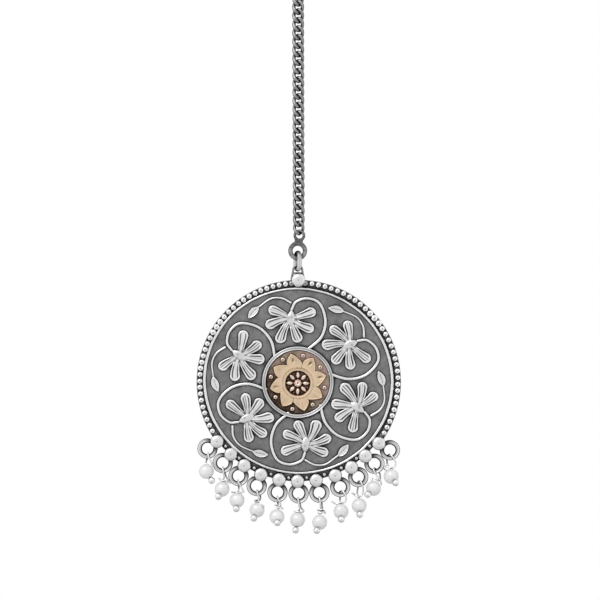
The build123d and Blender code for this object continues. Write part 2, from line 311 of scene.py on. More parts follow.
# The beaded rim: a channel of strip silver round the upper two thirds of the edge, with a thin lip
# on its outer side, and shot of one size soldered along it. The channel is black between the shot.
RIM_INNER, RIM_OUTER, RIM_HALF_ANGLE, RIM_FLOOR, RIM_LIP = 19.35, 20.42, 124.5, -0.36, -0.50
RIM_OFF = (0.22, 0, -0.10)  # the rim sits a little to the right of the plate, and low
BEAD_CIRCLE, BEAD_RADIUS, BEAD_FIRST, BEAD_PITCH, BEADS_A_SIDE = 19.78, 0.57, 4.4, 3.75, 32
CREEP = (  # degrees from the top, and degrees that the shot there has crept
    (-117, 1.1), (-93, 1.4), (-57, 0.7), (-10, 0.55), (5, -0.6), (50, 0.5), (90, 0.5), (120, 0.2),
)
WORN = (  # where the shot is run together: degrees from the top, half width in degrees, swelling
    (50, 6, 1.16), (303, 4, 1.12),
)


def ball(at, radius, sides=18, rings=10, reach=pi, squash=1.0):
    """Rows for a ball from its front pole back to the angle reach."""
    a = np.linspace(0, reach, rings)[:, None]
    b = np.linspace(0, 2 * pi, sides, endpoint=False)
    x, z = radius * np.sin(a) * np.cos(b), radius * np.sin(a) * np.sin(b)
    y = np.broadcast_to(-radius * squash * np.cos(a), x.shape)
    return np.stack([x, y, z], -1) + at


def polar(radius, angle, y=0.0):
    """A point at an angle clockwise from the top."""
    return np.array([radius * sin(radians(angle)), y, radius * cos(radians(angle))])


rim = Metal()
channel = [(RIM_INNER, PLATE_BACK), (RIM_OUTER - 0.06, PLATE_BACK), (RIM_OUTER, PLATE_BACK - 0.06)]
channel += [(RIM_OUTER, RIM_LIP + 0.07), (RIM_OUTER - 0.05, RIM_LIP), (RIM_OUTER - 0.15, RIM_LIP)]
channel += [(RIM_OUTER - 0.2, RIM_FLOOR), (RIM_INNER + 0.12, RIM_FLOOR), (RIM_INNER, RIM_FLOOR + 0.08)]
band = turned(channel, 181, -RIM_HALF_ANGLE, RIM_HALF_ANGLE) + RIM_OFF
rim.patch(np.swapaxes(band, 0, 1), caps=True)
strip = silver(
    "blackened strip", (0.32, 0.32, 0.325), (0.012, 0.012, 0.013),
    roughness=0.42, reach=0.7, low=0.40, high=1.0,
)
rim.piece("rim_channel", strip)

shot = Metal()
lens_reflection = np.array([0.1, 0.85] + [1.0] * 8)[:, None]  # the front of each shot is painted dark: a painted reflection of the camera
for side in (-1, 1):
    for count in range(BEADS_A_SIDE):
        angle = side * (BEAD_FIRST + BEAD_PITCH * count)
        swelling = 1.0 + rng.uniform(-0.03, 0.03)
        for worn_at, width, more in WORN:
            if abs((angle - worn_at + 180) % 360 - 180) < width:
                swelling *= more
        angle += np.interp(angle, *zip(*CREEP)) + rng.uniform(-0.12, 0.12)
        at = polar(BEAD_CIRCLE + rng.uniform(-0.03, 0.03), angle, RIM_FLOOR - 0.05)
        rows = ball(at + RIM_OFF, BEAD_RADIUS * swelling, squash=1 / swelling**2)
        rubbed_and_shaded = 1 if count else 0.4  # the two beside the crown stay dull
        shot.patch(rows, lens_reflection * rubbed_and_shaded)
bright_shot = silver(
    "rubbed silver shot", (0.97, 0.97, 0.98), (0.03, 0.03, 0.032),
    roughness=0.18, reach=0.30, low=0.02, high=0.30, worked=True, walls=(0.05, 0.32),
)
shot.piece("rim_shot", bright_shot)


# The bezel: two round wires side by side, soldered upright as a collar that holds the medallion.
# The line between the two wires is black.
BEZEL_INNER, BEZEL_OUTER, BEZEL_TOP = 6.43, 7.13, -0.95
BEZEL_WIRE, BEZEL_GROOVE = 0.24, -0.84
BEZEL_OFF = np.array([0.02, 0, -0.13])  # it sits a little low
bezel = Metal()
inner_wire = rounded(BEZEL_INNER, BEZEL_INNER + BEZEL_WIRE, BEZEL_GROOVE, BEZEL_TOP, 8)
outer_wire = rounded(BEZEL_OUTER - BEZEL_WIRE, BEZEL_OUTER, BEZEL_GROOVE, BEZEL_TOP, 8)
foot = FIELD + SUNK
collar = np.vstack([[(BEZEL_INNER, foot)], inner_wire, outer_wire, [(BEZEL_OUTER, foot)]])
shine = np.ones((len(collar), 1))
shine[[len(inner_wire), len(inner_wire) + 1]] = 0.55  # the groove
a = np.radians(np.linspace(0, 360, 144, endpoint=False))
worn = 0.84 + 0.13 * np.sin(a * 5 + 1) * np.sin(a * 3)
bezel.patch(turned(collar, 144, wobble=0.01) + BEZEL_OFF, ring=True, worked=shine * worn)
worked_wire = silver(
    "worked silver", (0.93, 0.93, 0.94), (0.035, 0.035, 0.037),
    roughness=0.27, reach=0.35, low=0.15, high=0.45, worked=True, walls=(0.20, 0.55),
)
bezel.piece("bezel", worked_wire)


# The vines: six stems of half-round wire that rise from the bezel, curl over to the left and end
# behind a calyx. Each sends a thin branch out to a leaf. All are bent by hand and soldered down.
FLOWERS = 6
VINE_WIRE, BRANCH_WIRE = 0.68, 0.46
VINE = (
    (1.90, 6.30), (4.62, 8.95), (5.60, 12.30), (4.55, 15.75), (2.10, 16.90), (-0.25, 16.20), (-1.14, 14.60),
)
BRANCH = ((-1.25, 16.05), (-3.10, 16.95), (-5.30, 16.78), (-7.73, 15.10))
ASKEW_FROM = 7.0  # what lies further out than this is slightly askew, as soldered


def smooth(points, steps=10):
    """A smooth line through the points."""
    p = np.array(points, float)
    p = np.vstack([2 * p[0] - p[1], p, 2 * p[-1] - p[-2]])
    t = np.linspace(0, 1, steps, endpoint=False)[:, None]
    spans = []
    for a, b, c, d in zip(p, p[1:], p[2:], p[3:]):
        curve = (2 * a - 5 * b + 4 * c - d) * t**2 + (3 * b - a - 3 * c + d) * t**3
        spans.append(0.5 * (2 * b + (c - a) * t + curve))
    return np.vstack(spans + [p[-2:-1]])


def on_plate(points, y):
    """Points of the plate's face as points in space."""
    p = np.asarray(points, float)
    return np.stack([p[..., 0], np.broadcast_to(y, p.shape[:-1]), p[..., 1]], -1)


def spun(points, angle):
    """Points turned clockwise about the disc's axis, and set askew beyond the bezel."""
    c, s = cos(radians(angle)), sin(radians(angle))
    points = points @ np.array([[c, 0, -s], [0, 1, 0], [s, 0, c]])
    beyond = np.clip((np.hypot(points[..., 0], points[..., 2]) - ASKEW_FROM) / 4, 0, 1)
    height = points[..., 2]
    right, up = beyond * (0.12 - 0.014 * height), beyond * (0.03 - 0.018 * height)
    return points + np.stack([right, 0 * beyond, up], -1)


def wire(path, radius, sides=12, closed=False):
    """Rows of points round a wire that follows a path."""
    path = np.asarray(path, float)
    radius = np.broadcast_to(radius, len(path))
    ahead = np.roll(path, -1, 0) - np.roll(path, 1, 0)
    if not closed:
        ahead[0], ahead[-1] = path[1] - path[0], path[-1] - path[-2]
    ahead /= np.linalg.norm(ahead, axis=1)[:, None]
    side = np.cross(ahead[0], (0.31, 0.85, 0.43))
    sides_out = []
    for step in ahead:
        side = side - step * (side @ step)
        side = side / np.linalg.norm(side)
        sides_out.append(side)
    across = np.array(sides_out)
    if closed:  # spread the last frame's turn over the whole wire, so that the ends meet
        up = np.cross(ahead[0], across[0])
        drift = across[-1] - ahead[0] * (across[-1] @ ahead[0])
        turn = atan2(drift @ up, drift @ across[0])
        angles = -turn * np.arange(len(path)) / len(path)
        other = np.cross(ahead, across)
        across = across * np.cos(angles)[:, None] + other * np.sin(angles)[:, None]
    other = np.cross(ahead, across)
    a = np.linspace(0, 2 * pi, sides, endpoint=False)
    ring = across[:, None] * np.cos(a)[:, None] + other[:, None] * np.sin(a)[:, None]
    return path[:, None] + ring * radius[:, None, None]


def rounded_off(path, radius):
    """A path and its radii, with a half ball added at each end."""
    a = np.radians([85, 60, 30])[:, None]
    ends = []
    for end, inner, r in ((path[0], path[1], radius[0]), (path[-1], path[-2], radius[-1])):
        out = (end - inner) / np.linalg.norm(end - inner)
        ends.append((end + out * r * np.sin(a), r * np.cos(a)[:, 0]))
    (first, first_radius), (last, last_radius) = ends
    return np.vstack([first, path, last[::-1]]), np.concatenate([first_radius, radius, last_radius[::-1]])


vines, branches = Metal(), Metal()
for count in range(FLOWERS):
    turn = 60 * count
    for points, metal, thick, from_end, to_end in (
        (VINE, vines, VINE_WIRE, 1.02, 0.86),
        (BRANCH, branches, BRANCH_WIRE, 1.15, 0.75),
    ):
        bent = np.array(points) + rng.uniform(-0.04, 0.04, (len(points), 2))
        path = on_plate(smooth(bent, 12), FIELD - 0.10)
        path, radius = rounded_off(path, thick / 2 * np.linspace(from_end, to_end, len(path)))
        metal.patch(spun(wire(path, radius, 16), turn), caps=True)
vines.piece("vines", bright_wire)
branches.piece("branches", bright_wire)


# The leaves: six small castings with a raised edge, side veins and one chased line down the middle,
# each soldered at the end of its branch.
LEAF_BASE, LEAF_TIP, LEAF_WIDTH, LEAF_HEIGHT, LEAF_BEND = (-7.62, 15.25), (-9.90, 12.70), 1.62, 0.34, 0.12
LEAF_EDGE, LEAF_LINE, LEAF_VEIN, VEINS = 0.06, 0.12, 0.02, 5.5  # how high or deep each is, and how many


def bump(value, centre, width):
    """A soft ridge, 1 at the centre and 0 beyond the width."""
    return np.clip(1 - ((value - centre) / width) ** 2, 0, 1) ** 2


def crosswise(count):
    """From -1 at a left edge to 1 at a right edge, closer together near both."""
    return np.sin(np.linspace(-pi / 2, pi / 2, count))


def relief(line, half_width, height):
    """Rows over a raised form: points along its middle line, and half widths and heights there."""
    ahead = np.gradient(line, axis=0)
    ahead /= np.linalg.norm(ahead, axis=1)[:, None]
    right = np.stack([ahead[:, 1], -ahead[:, 0]], -1)
    t = crosswise(height.shape[1])
    flat = line[:, None] + right[:, None] * (t[:, None] * half_width[:, None, None])
    return on_plate(flat, FIELD + SUNK - height)


leaves = Metal()
for count in range(FLOWERS):
    u = np.linspace(0, 1, 31)
    start, end = np.array(LEAF_BASE), np.array(LEAF_TIP)
    out = np.array([end[1] - start[1], start[0] - end[0]]) / np.linalg.norm(end - start)
    line = start + (end - start) * u[:, None] + out * (LEAF_BEND * np.sin(pi * u))[:, None]
    half_width = LEAF_WIDTH / 2 * np.sin(pi * u**0.9) ** 0.85 + 0.01
    t = crosswise(33)
    veins = 0.5 + 0.5 * np.cos(2 * pi * (u[:, None] * VEINS - 1.6 * np.abs(t)))
    edges = bump(np.abs(t), 0.82, 0.22)
    chased = bump(t, 0.04 * sin(count), 0.16) * np.clip(np.minimum(u - 0.12, 0.84 - u)[:, None] * 9, 0, 1)
    wall = np.clip((1 - np.abs(t)) * half_width[:, None] / 0.10, 0, 1) ** 0.5
    ends = np.clip(np.minimum(u, 1 - u) * 12, 0, 1)[:, None] ** 0.5
    height = wall * ends * (LEAF_HEIGHT + LEAF_EDGE * edges - LEAF_LINE * chased + LEAF_VEIN * veins)
    rows = relief(line, half_width, height + SUNK * ends * wall)
    worked = np.clip(0.92 + 0.1 * edges - 0.50 * chased - 0.12 * (1 - veins) * (1 - edges), 0, 1)
    leaves.patch(spun(rows, 60 * count), worked, around=False)
leaves.piece("leaves", worked_wire, sharp=70)


# The petals: each flower has six spoons of cast silver set fanwise round its calyx. A spoon has a
# rounded lip at its tip and ribs between three chased grooves, which begin with a deeper nick. The
# outer two grooves are cut deep, and the middle one is faint.
CALYX = (-1.35, 12.77)
SPOONS = (  # degrees from straight down, reach to the centre of the tip, tip's radius, bend
    (-113.5, 3.82, 1.08, -0.12),
    (-70.0, 4.18, 1.10, -0.18),
    (-24.5, 4.45, 1.20, -0.15),
    (20.5, 4.10, 1.16, -0.06),
    (64.0, 4.12, 1.10, -0.14),
    (108.5, 4.25, 1.10, -0.05),
)
SPOON_ROOT, SPOON_HEIGHT, SPOON_LIP = 0.46, 0.44, 0.42
GROOVE, GROOVE_AT, GROOVE_WIDTHS, GROOVE_DEPTH, NICK_DEPTH = 0.19, 0.50, (1, 0.7, 1), 0.035, 0.05
GROOVE_BLACK = (0.75, 0.15, 0.75), (1.0, 0.75, 1.0)  # the least and the most in each groove
petals = Metal()
for count in range(FLOWERS):
    for angle, reach, tip, bend in SPOONS:
        angle = angle + rng.uniform(-1.5, 1.5)
        length = reach + tip
        round_tip = reach + tip * np.sin(np.linspace(0, pi / 2, 12))
        along = np.concatenate([np.linspace(0, reach, 24, endpoint=False), round_tip])
        body = SPOON_ROOT + (tip - SPOON_ROOT) * (along / reach) ** 1.15
        cap = np.sqrt(np.clip(tip**2 - (along - reach) ** 2, 0, None))
        half_width = np.where(along < reach, body, cap)
        a = radians(angle)
        ahead, right = np.array([sin(a), -cos(a)]), np.array([-cos(a), -sin(a)])
        share = along / length
        aside = bend * reach * (share**2 - share) * 2
        line = np.array(CALYX) + ahead * along[:, None] + right * aside[:, None]
        t = crosswise(49)
        wide, far = half_width[:, None], along[:, None]
        x = t * wide
        from_end = np.where(far < reach, length - far, tip - np.hypot(x, far - reach))
        from_edge = np.where(far < reach, wide - np.abs(x), from_end)
        marks = []
        for centre, width in zip((-GROOVE_AT, rng.uniform(-0.08, 0.08), GROOVE_AT), GROOVE_WIDTHS):
            marks.append(bump(x, centre * wide, np.minimum(GROOVE * width, 0.22 * wide)))
        clear = np.clip((from_end - SPOON_LIP) / 0.10, 0, 1)
        grooves = sum(marks) * clear
        fading = np.clip((share[:, None] - 0.15) / 0.30, 0.5, 1)
        nicks = grooves * bump(from_end, SPOON_LIP + 0.20, 0.22)
        root = 1 - np.clip((share[:, None] - 0.16) / 0.22, 0, 1)
        outer = np.clip((np.abs(t) - 0.5) * 12, 0, 1) * root
        wall = np.sqrt(1 - (1 - np.clip(from_edge / 0.20, 0, 1)) ** 2)
        lift = 0.62 + 0.38 * np.clip(share[:, None] / 0.5, 0, 1)
        height = wall * (1 - outer) * (lift * SPOON_HEIGHT - GROOVE_DEPTH * grooves - NICK_DEPTH * nicks)
        rows = relief(line, half_width, height + SUNK)
        deep = rng.uniform(*GROOVE_BLACK)
        cut = sum(d * np.clip(mark * 3.5, 0, 1) for d, mark in zip(deep, marks)) * clear * fading
        worked = np.clip(1 - cut - 0.3 * nicks - 0.6 * outer, 0.0, 1)
        petals.patch(spun(rows, 60 * count), worked, around=False)
petals.piece("petals", worked_wire, sharp=70)


# The calyces: a smooth drop-shaped boss over the roots of each flower's petals, its point turned
# up to the end of the vine.
CALYX_TIP, CALYX_FOOT, CALYX_WIDTH, CALYX_HEIGHT = (-1.10, 14.56), (-1.47, 11.12), 2.02, 0.72
CALYX_BEAD, CALYX_BEAD_AT, CALYX_BEAD_HIGH, CALYX_PIT = 0.24, (-0.36, 12.95), 0.42, 0.03


def lengthwise(count):
    """From 0 at one end to 1 at the other, closer together near both."""
    return (1 - np.cos(np.linspace(0, pi, count))) / 2


calyces = Metal()
for count in range(FLOWERS):
    u = lengthwise(25)
    start, end = np.array(CALYX_TIP), np.array(CALYX_FOOT)
    line = start + (end - start) * u[:, None]
    half_width = CALYX_WIDTH / 2 * np.sin(pi * u**0.98) ** 0.75 * (0.88 + 0.16 * u) + 0.005
    t = crosswise(25)
    height = CALYX_HEIGHT * (np.sin(pi * u) ** 0.4)[:, None] * (1 - np.abs(t) ** 3.5) ** 0.5
    pits = 0.0
    for pit_u, pit_t in ((0.42, rng.uniform(-0.3, 0.3)), (0.50, rng.uniform(0.5, 0.8))):
        pits = pits + bump(np.hypot((u[:, None] - pit_u) * 9, (t - pit_t) * 2.5), 0, 1)
    rows = relief(line, half_width, height - CALYX_PIT * pits)
    calyces.patch(spun(rows, 60 * count), np.clip(1 - 0.5 * pits, 0, 1), around=False)
    bead = ball(on_plate(CALYX_BEAD_AT, FIELD - CALYX_BEAD_HIGH), CALYX_BEAD, 14, 8)
    calyces.patch(spun(bead, 60 * count))
smooth_cast = silver(
    "smooth cast silver", (0.77, 0.77, 0.78), (0.04, 0.04, 0.042),
    roughness=0.32, reach=0.35, low=0.15, high=0.45, worked=True, walls=(0.15, 0.5),
)
calyces.piece("calyces", smooth_cast, sharp=70)


# The medallion: a round of brass stamped with a lotus and gilded, then darkened in its ground. It
# drops into the bezel. Eight pointed petals, with a grain between each two, stand round a ring that
# holds eight seeds and a hub.
LOTUS_PETALS, LOTUS_TURN, LOTUS_TIP, LOTUS_VALLEY = 8, -12.8, 5.88, 4.15
LOTUS_HEIGHT, LOTUS_SWELL, LOTUS_SLIT, LOTUS_LEAN = 0.30, 0.12, 0.26, 3.5
GROUND, GROUND_RADIUS, SEAT = -0.60, 6.38, -0.28
WHEEL_INNER, WHEEL_OUTER, WHEEL_TOP = 2.40, 3.06, -1.12
SEED_FROM, SEED_TO, SEED_WIDTH = 0.86, 2.42, 0.80
GRAIN_CIRCLE, GRAIN_RADIUS, GRAIN_TURN, HUB_RADIUS = 5.42, 0.50, 11.4, 0.78
WHEEL_OFF = np.array([0.02, 0, -0.30])  # the ring of seeds was struck low
SLITS = (0.9, 1.0, 0.9, 0.0, 0.1, 0.0, 0.7, 0.3)  # how deep each petal is slit, clockwise from the top


def gilt(name, bright, black, roughness, reach, low, high, patchy=0.30, bloom=0.3):
    """Gilding, worn over its high places and brown in its corners, with a faint bloom of green and rose.

    The brown is patchy, and heavier towards the lower left."""
    material, n = finish(name)
    cloud, fine = n.grain(1.6, 4.0), n.grain(0.22)
    place = n.add("ShaderNodeVectorMath", {"operation": "SUBTRACT"}, {0: n.place(), 1: DISC})["Vector"]
    rising = n.dot(place, (0.75, 0, 0.65)) / (6 * MM)
    rubbed_and_shaded = n.crevice(reach) + ((cloud - 0.5) + rising * 0.35) * patchy + (fine - 0.5) * 0.12
    # the sides are darkened too: partly left unrubbed, partly painted shade and painted reflection at the
    # edges
    rubbed_and_shaded = rubbed_and_shaded.step(low, high) * n.worked() * (n.frontal().step(0.10, 0.50) * 0.75 + 0.25)
    rose, leek = (
        (*(shade * (1 + more * bloom) for shade, more in zip(bright, change)), 1)
        for change in ((0.06, -0.12, 0.05), (-0.10, 0.03, -0.12))
    )
    shade = rubbed_and_shaded.between((*black, 1), n.grain(1.7, 2.0).step(0.42, 0.60).between(rose, leek))
    n.metal(shade, roughness + (1 - rubbed_and_shaded) * 0.2, cloud, fine, (0.5, 0.4, 0.3, 1))
    return material


ground = Metal()
disc_edge = [(GROUND_RADIUS, SEAT), (GROUND_RADIUS, GROUND + 0.06), (GROUND_RADIUS - 0.06, GROUND)]
under = [(r, SEAT) for r in (AXIS, 3.0, 6.2)]
over = [(r, GROUND) for r in np.linspace(6.1, WHEEL_INNER + 0.22, 14)]
recess = [(WHEEL_INNER + 0.2, GROUND + 0.22), (AXIS, GROUND + 0.22)]
dark = np.array([1.0] * len(under + disc_edge + over) + [0.42] * len(recess))[:, None]
brown_gilt = gilt(
    "browned gilding", (0.43, 0.33, 0.27), (0.035, 0.018, 0.012),
    roughness=0.46, reach=1.4, low=0.48, high=1.05, patchy=0.75, bloom=0.4,
)
ground.patch(turned(under + disc_edge + over + recess, 144) + BEZEL_OFF, dark)
ground.piece("medallion_ground", brown_gilt, ["gold_medallion"], slot="matte_gilt")

lotus = Metal()
half_step = 180 / LOTUS_PETALS
for count in range(LOTUS_PETALS):
    tip_angle = LOTUS_TURN + 2 * half_step * count + rng.uniform(-0.8, 0.8)
    across = crosswise(33)
    reach = LOTUS_TIP + rng.uniform(-0.1, 0.12)
    half = np.where(across < 0, half_step - LOTUS_LEAN, half_step + LOTUS_LEAN)  # tips lean to the left
    hollow = np.where(across < 0, 0.72, 1.15)
    outline = LOTUS_VALLEY + (reach - LOTUS_VALLEY) * (1 - np.abs(across)) ** hollow
    share = np.linspace(0, 1, 30)[:, None] ** 0.8
    r = WHEEL_OUTER - 0.25 + (outline - WHEEL_OUTER + 0.25) * share
    lean = 1.4 * (1 - share)
    angle = np.radians(tip_angle + lean + across * half)
    inward = outline - r
    side_in = (1 - np.abs(across)) * half * pi / 180 * r
    wall = np.clip(inward / 0.14, 0, 1) ** 0.5
    parted = np.clip((r - 3.5) / 0.7, 0, 1)
    crease = 1 - (1 - np.clip(side_in / 0.20, 0, 1) ** 0.6) * parted
    slit = SLITS[count] * bump(np.radians(across * half) * r, (r - 4.5) * 0.15, 0.32) * bump(r, 4.55, 0.80)
    belly = 0.05 * np.cos(across * pi / 2) + 0.05 * bump(inward, 0.22, 0.22)
    height = wall * (LOTUS_HEIGHT + LOTUS_SWELL * crease + belly - LOTUS_SLIT * slit)
    rows = np.stack([r * np.sin(angle), GROUND + SUNK - height, r * np.cos(angle)], -1)
    striae = 1 - 0.22 * rng.random(33) * np.clip(r - 3.2, 0, 1)
    shine = (0.83 + 0.17 * bump(inward, 0.12, 0.32)) * striae
    from_wheel = np.hypot(r * np.sin(angle), r * np.cos(angle) - WHEEL_OFF[2] + BEZEL_OFF[2])
    shine = shine * (1 - bump(from_wheel, 3.12, 0.12) * rng.uniform(0.1, 0.9, 33))
    worked = np.clip(0.35 + 0.65 * crease - 0.95 * slit, 0, 1) * (0.5 + 0.5 * wall) * shine
    lotus.patch(rows + BEZEL_OFF, worked, around=False)
wheel = rounded(WHEEL_INNER, WHEEL_OUTER, GROUND + 0.3, WHEEL_TOP, 13)
wheel[4:9, 1] = WHEEL_TOP + np.array([0.07, 0.07, 0.07, 0.02, 0.02])  # a flat top, with a step in it
wheel_shine = np.full((13, 1), 0.88)
wheel_shine[6] *= 0.75
lotus.patch(turned(wheel, 96, wobble=0.01) + WHEEL_OFF, ring=True, worked=wheel_shine)
rubbed_gilt = gilt(
    "rubbed gilding", (1.0, 0.77, 0.53), (0.045, 0.022, 0.012),
    roughness=0.34, reach=0.35, low=0.10, high=0.50, bloom=0.15,
)
lotus.piece("lotus", rubbed_gilt, slot="matte_gilt", sharp=60)

seeds = Metal()
for count in range(LOTUS_PETALS):
    angle = 2 * half_step * count + rng.uniform(-1.5, 1.5)
    u, t = lengthwise(17), crosswise(17)
    line = np.stack([0 * u, SEED_FROM + (SEED_TO - SEED_FROM) * u], -1)
    half_width = SEED_WIDTH / 2 * np.sin(pi * u) ** 0.9 + 0.004
    pit = bump(t, 0, 0.3) * bump(u[:, None], 0.55, 0.2)
    height = 0.42 * np.sin(pi * u)[:, None] ** 0.5 * (1 - t**2) ** 0.5 * (1 - 0.25 * pit)
    rows = relief(line, half_width, height + (FIELD - GROUND) - 0.15)
    seeds.patch(spun(rows, angle) + WHEEL_OFF, 1 - 0.6 * pit, around=False)
    at = polar(GRAIN_CIRCLE + rng.uniform(-0.08, 0.08), GRAIN_TURN + 2 * half_step * count, GROUND - 0.02)
    shine = np.array([0.1, 0.15, 0.7] + [1.0] * 7)[:, None]  # each grain is darker at the middle of its front, with no pit in its shape
    seeds.patch(ball(at + BEZEL_OFF, GRAIN_RADIUS, reach=2.0), shine)
    at = polar(2.12, angle + half_step, GROUND + 0.14)
    seeds.patch(ball(at + WHEEL_OFF, rng.uniform(0.10, 0.16), 10, 6), 0.35)
hub = np.array([  # radius, y, shine
    (AXIS, -1.05, 0.1), (0.14, -1.03, 0.3), (0.22, -1.12, 1), (0.42, -1.16, 1), (0.52, -1.08, 0.5),
    (0.60, -1.10, 1), (0.74, -0.95, 1), (HUB_RADIUS, -0.75, 1), (HUB_RADIUS, GROUND + 0.3, 0.5),
])
seeds.patch(turned(hub[:, :2], 36) + WHEEL_OFF, hub[:, 2:])
pale_gilt = gilt(
    "pale gilding", (0.97, 0.82, 0.68), (0.045, 0.018, 0.008),
    roughness=0.30, reach=0.30, low=0.05, high=0.40,
)
seeds.piece("seeds_and_grains", pale_gilt, slot="matte_gilt")


# The crown: a domed stud at the top of the rim, and behind it a loop of wire whose two legs come
# down astride the stud to a short tang soldered to the plate's back.
CROWN_X, CROWN_Z, STUD_RADIUS, STUD_HIGH, STUD_Y, STUD_BACK = 0.15, 20.26, 1.40, 1.15, -0.10, 0.30
LOOP_Z, LOOP_CIRCLE, LOOP_WIRE, LEG_SPREAD, BRIDGE_WIRE = 22.26, 0.93, 0.40, 1.22, 0.30


def stud(at, radius):
    """A high dome with a fine pit in its middle, painted dark there as a painted reflection of the camera,
    and upright sides, closed behind.
    """
    a = np.linspace(0, pi / 2, 22)[1:]
    dome = [(AXIS, 0.04 - STUD_HIGH), (0.08, 0.01 - STUD_HIGH)]
    dome += [(radius * sin(b) ** (2 / 3), -STUD_HIGH * cos(b) ** (2 / 3)) for b in a]
    edge = [(radius, 0.14), (radius * 0.97, STUD_BACK - STUD_Y), (AXIS, STUD_BACK - STUD_Y)]
    # the dark middle is a painted reflection of the camera
    shine = np.array([0.2, 0.6] + [1.0] * (len(dome) + len(edge) - 2))[:, None]
    return turned(dome + edge, 40) + at, shine


crown = Metal()
rows, shine = stud((CROWN_X, STUD_Y, CROWN_Z), STUD_RADIUS)
crown.patch(rows, shine)
polished = silver(
    "satin silver stud", (0.84, 0.84, 0.85), (0.03, 0.03, 0.03),
    roughness=0.30, reach=0.4, low=0.05, high=0.40, worked=True, walls=(0, 0.12), edge=0.7,
)
crown.piece("crown_stud", polished)

loop = Metal()
bow = [polar(LOOP_CIRCLE, a) + (0, 0, LOOP_Z) for a in np.linspace(-95, 95, 25)]
left = [(-LEG_SPREAD, 0.12, 20.1), (-LEG_SPREAD * 0.98, 0.1, 20.8), (-LOOP_CIRCLE - 0.08, 0.04, 21.6)]
right = [(-x, y, z) for x, y, z in reversed(left)]
loop.patch(wire(smooth(left + bow[::4] + right, 6), LOOP_WIRE / 2), caps=True)
bridge = [(-LOOP_CIRCLE, 0.10, 21.64), (-0.4, 0.12, 21.70), (0.4, 0.12, 21.70), (LOOP_CIRCLE, 0.10, 21.64)]
loop.patch(wire(smooth(bridge, 4), BRIDGE_WIRE / 2), caps=True)
tang = np.array([(-0.6, 19.6), (0.6, 19.6), (0.5, 21.25), (-0.5, 21.25)])
loop.patch([on_plate(tang, y) for y in (-0.12, 0.0, 0.3, 0.36)], caps=True)
dull_wire = silver(
    "dull silver wire", (0.33, 0.33, 0.335), (0.02, 0.02, 0.021),
    roughness=0.32, reach=0.8, low=0.35, high=0.9, walls=(0.3, 0.9),
)
loop.piece("hanging_loop", dull_wire)


# The lower edge: eleven domed studs overhang the plate, each over the top of a ring made of two
# round wires soldered side by side, which is painted dark beside its stud as the stud's painted
# shadow. A granule sits on the plate between each two studs.
DROP_PITCH, GRANULE_CIRCLE, GRANULE_RADIUS = 10.7, 19.3, 0.37
RING_OUTER, RING_INNER, RING_HALF, RING_EDGE, RING_SEAM = 2.03, 1.13, 0.30, 0.17, 1.64
DROPS = (  # stud: circle, degrees off its even place; ring: circle; drop: how far off it hangs, x and z
    (20.07, -0.10, 22.61, 0.15, 0.05),
    (19.75, -0.15, 22.20, 0.10, 0.00),
    (19.89, 0.40, 22.40, 0.08, 0.10),
    (19.99, 0.20, 22.63, 0.06, 0.20),
    (19.97, 0.05, 22.63, 0.16, 0.10),
    (19.91, 0.10, 22.36, 0.18, 0.00),
    (20.08, 0.15, 22.78, 0.10, 0.15),
    (20.22, -0.35, 22.74, 0.20, 0.08),
    (20.23, 0.05, 22.66, 0.05, 0.10),
    (20.09, 0.55, 22.53, 0.03, 0.10),
    (20.36, 0.80, 23.15, -0.18, 0.04),
)
corner = np.array([(0.0, 0.10), (0.02, 0.19), (0.10, 0.27), (RING_EDGE, RING_HALF)])
inner_half = np.vstack([corner + (RING_INNER, 0), [(RING_SEAM - 0.20, RING_HALF + 0.01)]])
outer_half = np.vstack([[(RING_SEAM + 0.09, RING_HALF + 0.01)], (corner * (-1, 1) + (RING_OUTER, 0))[::-1]])
ring_back = np.vstack([inner_half, [(RING_SEAM, RING_HALF - 0.06)], outer_half])
ring_section = np.vstack([ring_back * (1, -1), ring_back[::-1]])
ring_shine = np.array([  # from the ring's hole outwards: shine, and how far the stud's shade takes it
    (0.0, 0), (0.0, 0), (0.0, 0), (0.04, 0), (0.7, 0), (0.75, 0),
    (1, 0.2), (0.9, 0.7), (0.35, 1), (0.1, 1), (0.0, 1),
])
ring_shine = np.vstack([ring_shine, ring_shine[::-1]])
studs, granules, drop_rings = Metal(), Metal(), Metal()
drop_angles = [180 + DROP_PITCH * ((len(DROPS) - 1) / 2 - count) for count in range(len(DROPS))]
for angle, (stud_circle, turn, ring_circle, x, z) in zip(drop_angles, DROPS):
    at = polar(stud_circle, angle + turn, STUD_Y)
    rows, shine = stud(at, STUD_RADIUS * rng.uniform(0.98, 1.01))
    studs.patch(rows, shine)
    rows = turned(ring_section, 64, wobble=0.012) + polar(ring_circle, angle) + (x, 0, z)
    from_stud = np.abs((np.linspace(0, 360, 64, endpoint=False) - angle) % 360 - 180)
    # painted shadow: each ring is darkened towards its stud, most under the stud itself
    shine = ring_shine[:, :1] * np.clip((from_stud - 30) / 45, 0.10, 1)
    shine = shine * (1 - ring_shine[:, 1:] * (1 - np.clip((from_stud - 50) / 60, 0, 1)))
    drop_rings.patch(rows, ring=True, worked=shine)
for angle in drop_angles[:-1]:
    at = polar(GRANULE_CIRCLE + rng.uniform(-0.05, 0.05), angle - DROP_PITCH / 2, FIELD - 0.02)
    granules.patch(ball(at, GRANULE_RADIUS * rng.uniform(0.9, 1.1)))
studs.piece("studs", polished)
worn_silver = silver(
    "worn silver", (0.62, 0.62, 0.63), (0.03, 0.03, 0.031),
    roughness=0.30, reach=0.35, low=0.15, high=0.6, walls=(0, 0.5),
)
granules.piece("granules", worn_silver)
ring_silver = silver(
    "drop ring silver", (0.90, 0.90, 0.91), (0.015, 0.015, 0.016),
    roughness=0.34, reach=1.2, low=0.36, high=0.74, worked=True, walls=(0.3, 0.7),
)
drop_rings.piece("drop_rings", ring_silver)


